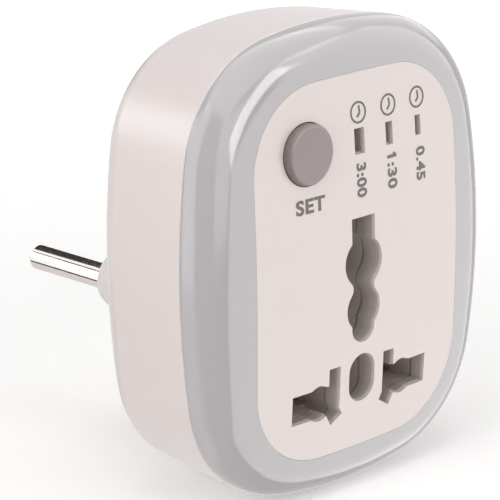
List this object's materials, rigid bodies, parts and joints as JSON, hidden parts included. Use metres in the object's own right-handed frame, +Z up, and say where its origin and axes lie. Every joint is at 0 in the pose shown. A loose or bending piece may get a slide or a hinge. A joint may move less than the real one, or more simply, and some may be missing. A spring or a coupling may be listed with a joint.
{
  "type": "plug in timer switch",
  "caption": "Plug in timer switch: rounded case with a domed face, a push button and time slots over a universal outlet, and round plug pins on a tapered boss behind.",
  "frame": {"origin": "halfway between the two plug pins, on the flat end of the plug boss, which meets the wall outlet", "axes": "+X to the right of someone who faces the front, +Y from the face towards the wall, along the pins, +Z up"},
  "size_m": [0.0598, 0.0658, 0.072],
  "materials": {
    "shell_white": "glossy moulded white",
    "bezel_pearl": "glossy translucent pearl grey",
    "plate_cream": "satin warm white",
    "cover_grey": "satin moulded",
    "socket_grey": "matte moulded",
    "contact_brass": "rolled spring brass",
    "pin_chrome": "bright plated",
    "screw_steel": "zinc plated",
    "button_grey": "satin grey",
    "tact_black": "moulded",
    "board_green": "solder mask",
    "relay_black": "moulded",
    "film_red": "moulded box",
    "varistor_blue": "dipped epoxy",
    "fuse_black": "moulded box",
    "can_black": "shrink sleeve",
    "chip_black": "moulded epoxy",
    "resistor_tan": "lacquered",
    "wire_brown": "insulation",
    "wire_blue": "insulation",
    "lamp_clear": "diffused lens"
  },
  "bodies": {
    "case": {"rear_shell": "shell_white", "bezel_ring": "bezel_pearl", "face_plate": "plate_cream", "front_cover": "cover_grey", "socket_body": "socket_grey", "socket_base": "socket_grey", "neutral_contact": "contact_brass", "line_contact": "contact_brass", "line_pin": "pin_chrome", "neutral_pin": "pin_chrome", "pin_clamp": "socket_grey", "clamp_screw": "screw_steel", "case_screws": "screw_steel", "board_screws": "screw_steel", "tact_switch": "tact_black", "control_board": "board_green", "relay": "relay_black", "dropper_capacitor": "film_red", "varistor": "varistor_blue", "fuse": "fuse_black", "smoothing_capacitor": "can_black", "bridge_rectifier": "chip_black", "controller_chip": "chip_black", "relay_transistor": "chip_black", "resistors": "resistor_tan", "line_in_wire": "wire_brown", "line_out_wire": "wire_brown", "neutral_link_wire": "wire_blue", "neutral_board_wire": "wire_blue", "led_long": "lamp_clear", "led_middle": "lamp_clear", "led_short": "lamp_clear"},
    "button": {"set_button": "button_grey"},
    "plunger": {"tact_plunger": "tact_black"}
  },
  "joints": [
    {"name": "button_press", "type": "slide", "parent": "case", "child": "button", "axis": [0, 1, 0], "range_m": [0, 0.0005], "stiffness_N_per_m": 1200},
    {"name": "plunger_press", "type": "slide", "parent": "case", "child": "plunger", "axis": [0, 1, 0], "range_m": [0, 0.0005]}
  ],
  "couplings": [
    {"joint": "plunger_press", "follows": "button_press", "ratio": 1}
  ]
}
